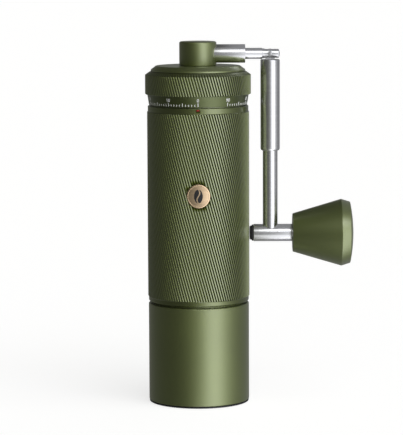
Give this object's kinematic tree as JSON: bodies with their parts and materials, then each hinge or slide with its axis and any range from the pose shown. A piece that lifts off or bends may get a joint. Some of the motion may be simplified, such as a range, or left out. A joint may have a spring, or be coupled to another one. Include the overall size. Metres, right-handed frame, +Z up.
{
  "type": "hand crank coffee grinder",
  "caption": "Slim hand crank coffee grinder: knurled body, magnetic catch cup, numbered grind dial and a folding crank with a conical knob.",
  "frame": {"origin": "centre of the rubber pad under the catch cup, where the grinder stands", "axes": "+Z up along the grinder's axis; +X towards the folded crank arm; -Y is the front, with the badge and the dial's index mark"},
  "size_m": [0.1121, 0.057, 0.1952],
  "materials": {
    "anodised_green": "satin olive-green anodised aluminium",
    "machined_aluminium": "fine turned aluminium",
    "arm_steel": "polished stainless steel",
    "inner_steel": "ground steel",
    "burr_steel": "hardened burr steel, ground teeth",
    "spring_steel": "drawn spring wire and pressed clips",
    "magnet": "nickel-plated magnet",
    "badge_brass": "satin brass with an engraved bean",
    "index_red": "filled red index mark",
    "rubber": "matte black rubber",
    "silicone": "dark silicone",
    "bush_polymer": "natural low-friction plastic"
  },
  "bodies": {
    "body": {"outer_shell": "anodised_green", "badge": "badge_brass", "index_mark": "index_red", "burr_carrier": "anodised_green", "ring_burr": "burr_steel", "ring_burr_retainer": "inner_steel", "lower_bearing_outer_race": "inner_steel", "guide_sleeve": "anodised_green", "dial_snap_ring": "spring_steel", "cup_magnet_1": "magnet", "cup_magnet_2": "magnet", "cup_magnet_3": "magnet", "cup_magnet_4": "magnet", "detent_ball_1": "inner_steel", "detent_ball_2": "inner_steel", "detent_spring_1": "spring_steel", "detent_spring_2": "spring_steel", "carriage_key_1": "inner_steel", "carriage_key_2": "inner_steel"},
    "cup": {"catch_cup": "anodised_green", "cup_base_pad": "rubber", "cup_steel_ring": "inner_steel"},
    "dial": {"grind_dial": "anodised_green"},
    "carriage": {"bearing_carriage": "machined_aluminium", "upper_bearing_outer_race": "inner_steel", "bearing_circlip": "spring_steel"},
    "shaft": {"drive_shaft": "inner_steel", "upper_bearing_inner_race": "inner_steel", "shaft_clip_above_bearing": "spring_steel", "shaft_clip_below_bearing": "spring_steel", "preload_spring_clip": "spring_steel", "cone_burr": "burr_steel", "cone_burr_washer": "inner_steel", "cone_burr_screw": "inner_steel"},
    "upper_balls": {"upper_bearing_balls": "inner_steel"},
    "lower_race": {"lower_bearing_inner_race": "inner_steel", "preload_spring": "spring_steel"},
    "lower_balls": {"lower_bearing_balls": "inner_steel"},
    "lid": {"lid_plate": "anodised_green", "lid_gasket": "silicone", "lid_bush": "bush_polymer"},
    "crank": {"crank_hub": "anodised_green", "hub_drive_insert": "inner_steel", "hub_circlip": "spring_steel", "crank_neck": "arm_steel", "hinge_pin": "arm_steel"},
    "arm": {"arm_rod": "arm_steel", "sleeve_spring": "spring_steel", "axle_tube": "arm_steel", "arm_bumper": "rubber", "knob_axle": "arm_steel", "knob_screw": "arm_steel"},
    "sleeve": {"locking_sleeve": "arm_steel"},
    "knob": {"knob_shell": "anodised_green", "knob_cap": "anodised_green", "knob_bush_inner": "bush_polymer", "knob_bush_outer": "bush_polymer"}
  },
  "joints": [
    {"name": "cup_pull", "type": "slide", "parent": "body", "child": "cup", "axis": [0, 0, -1], "range_m": [0, 0.06]},
    {"name": "dial_turn", "type": "hinge", "parent": "body", "child": "dial", "pos_m": [0, 0, 0.17], "axis": [0, 0, 1], "range_deg": [0, 324]},
    {"name": "shaft_drop", "type": "slide", "parent": "body", "child": "carriage", "axis": [0, 0, -1], "range_m": [0, 0.00136], "deforming": ["preload_spring"]},
    {"name": "shaft_spin", "type": "hinge", "parent": "carriage", "child": "shaft", "pos_m": [0, 0, 0.153], "axis": [0, 0, 1], "continuous": true},
    {"name": "upper_balls_spin", "type": "hinge", "parent": "carriage", "child": "upper_balls", "pos_m": [0, 0, 0.153], "axis": [0, 0, 1], "continuous": true},
    {"name": "lower_race_spin", "type": "hinge", "parent": "body", "child": "lower_race", "pos_m": [0, 0, 0.073], "axis": [0, 0, 1], "continuous": true},
    {"name": "lower_balls_spin", "type": "hinge", "parent": "body", "child": "lower_balls", "pos_m": [0, 0, 0.073], "axis": [0, 0, 1], "continuous": true},
    {"name": "lid_lift", "type": "slide", "parent": "body", "child": "lid", "axis": [0, 0, 1], "range_m": [0, 0.045]},
    {"name": "crank_spin", "type": "hinge", "parent": "lid", "child": "crank", "pos_m": [0, 0, 0.189], "axis": [0, 0, 1], "continuous": true},
    {"name": "handle_fold", "type": "hinge", "parent": "crank", "child": "arm", "pos_m": [0.0388, 0, 0.1886], "axis": [0, -1, 0], "range_deg": [0, 90]},
    {"name": "sleeve_pull", "type": "slide", "parent": "arm", "child": "sleeve", "axis": [0, 0, -1], "range_m": [0, 0.01], "stiffness_N_per_m": 150, "springref_m": -0.005, "deforming": ["sleeve_spring"]},
    {"name": "knob_spin", "type": "hinge", "parent": "arm", "child": "knob", "pos_m": [0.065, 0, 0.0916], "axis": [1, 0, 0], "continuous": true}
  ],
  "couplings": [
    {"joint": "shaft_drop", "follows": "dial_turn", "m_per_rad": 0.00023873},
    {"joint": "shaft_spin", "follows": "crank_spin", "ratio": 1},
    {"joint": "lower_race_spin", "follows": "crank_spin", "ratio": 1},
    {"joint": "upper_balls_spin", "follows": "crank_spin", "ratio": 0.42},
    {"joint": "lower_balls_spin", "follows": "crank_spin", "ratio": 0.42}
  ]
}
